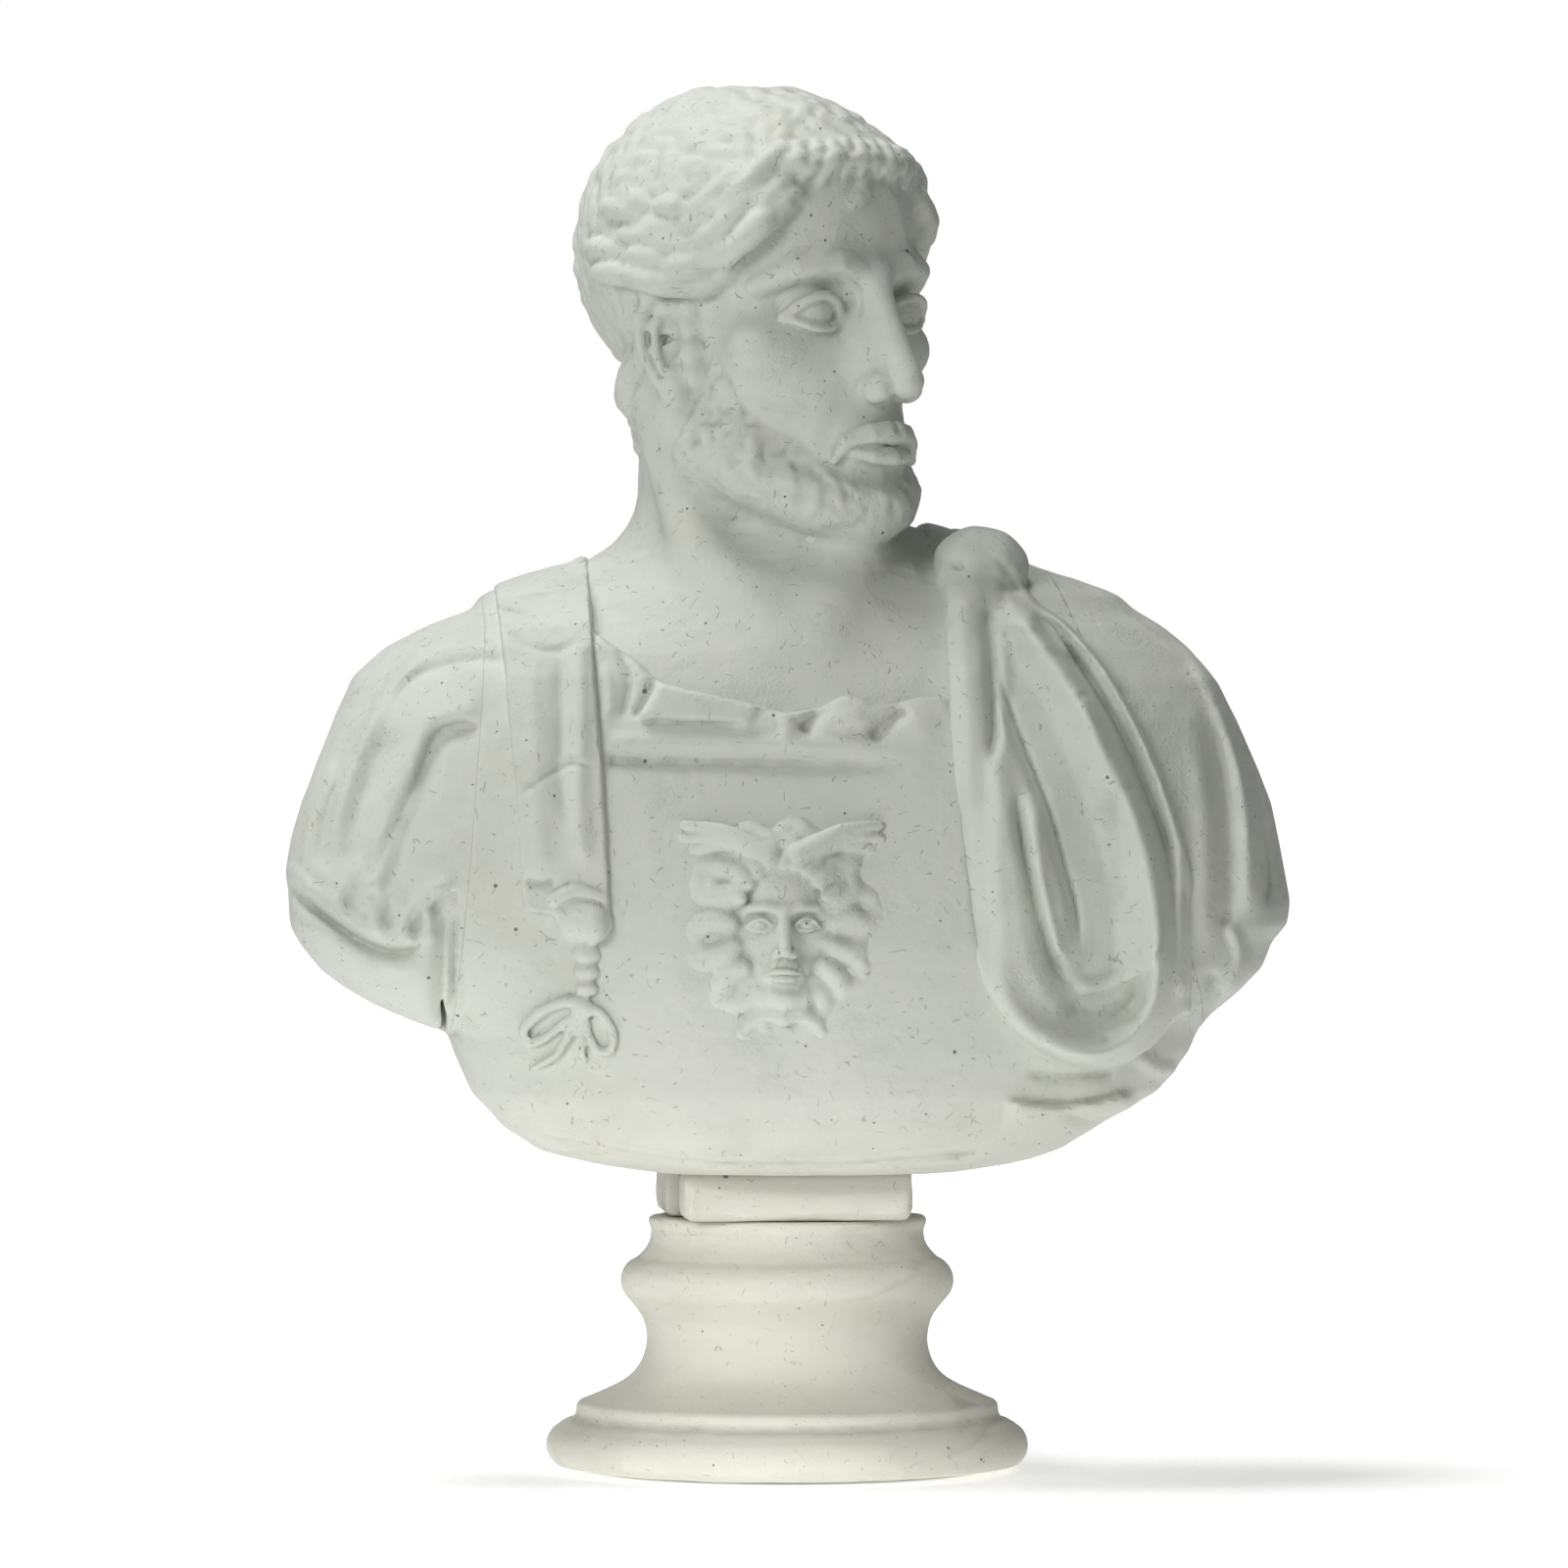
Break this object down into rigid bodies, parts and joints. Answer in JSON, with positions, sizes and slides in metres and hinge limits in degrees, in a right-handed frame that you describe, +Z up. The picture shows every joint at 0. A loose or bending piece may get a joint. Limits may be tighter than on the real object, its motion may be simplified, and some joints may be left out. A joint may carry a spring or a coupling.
{
  "type": "portrait bust",
  "caption": "Desk-size marble portrait bust in draped armour, head turned to one side, pinned together from blocks and turning on a round moulded socle.",
  "frame": {"origin": "centre of the felt's underside, on the axis of the threaded rod", "axes": "+Z up, -Y the way the chest faces, +X towards the sitter's left arm"},
  "size_m": [0.2293, 0.119, 0.32],
  "materials": {
    "marble": "honed, matte, finely pitted cream-white",
    "steel": "plain zinc-plated",
    "brass": "turned",
    "felt": "dark green felt",
    "nylon": "natural nylon"
  },
  "bodies": {
    "socle": {"socle": "marble", "base_felt": "felt", "swivel_disc": "nylon"},
    "bust": {"block_pin_left": "brass", "block_pin_right": "brass", "centre_rod": "steel", "clamp_nut": "steel", "clamp_washer": "steel", "head": "marble", "index_block": "marble", "left_arm": "marble", "left_arm_dowel_lower": "steel", "left_arm_dowel_upper": "steel", "neck_dowel": "steel", "pillar_dowel_left": "brass", "pillar_dowel_right": "brass", "right_arm": "marble", "right_arm_dowel_lower": "steel", "right_arm_dowel_upper": "steel", "rod_anchor": "brass", "support_pillar": "marble", "torso": "marble"}
  },
  "joints": [
    {"name": "bust_turn", "type": "hinge", "parent": "socle", "child": "bust", "pos_m": [0, 0, 0.0585], "axis": [0, 0, 1], "continuous": true}
  ]
}
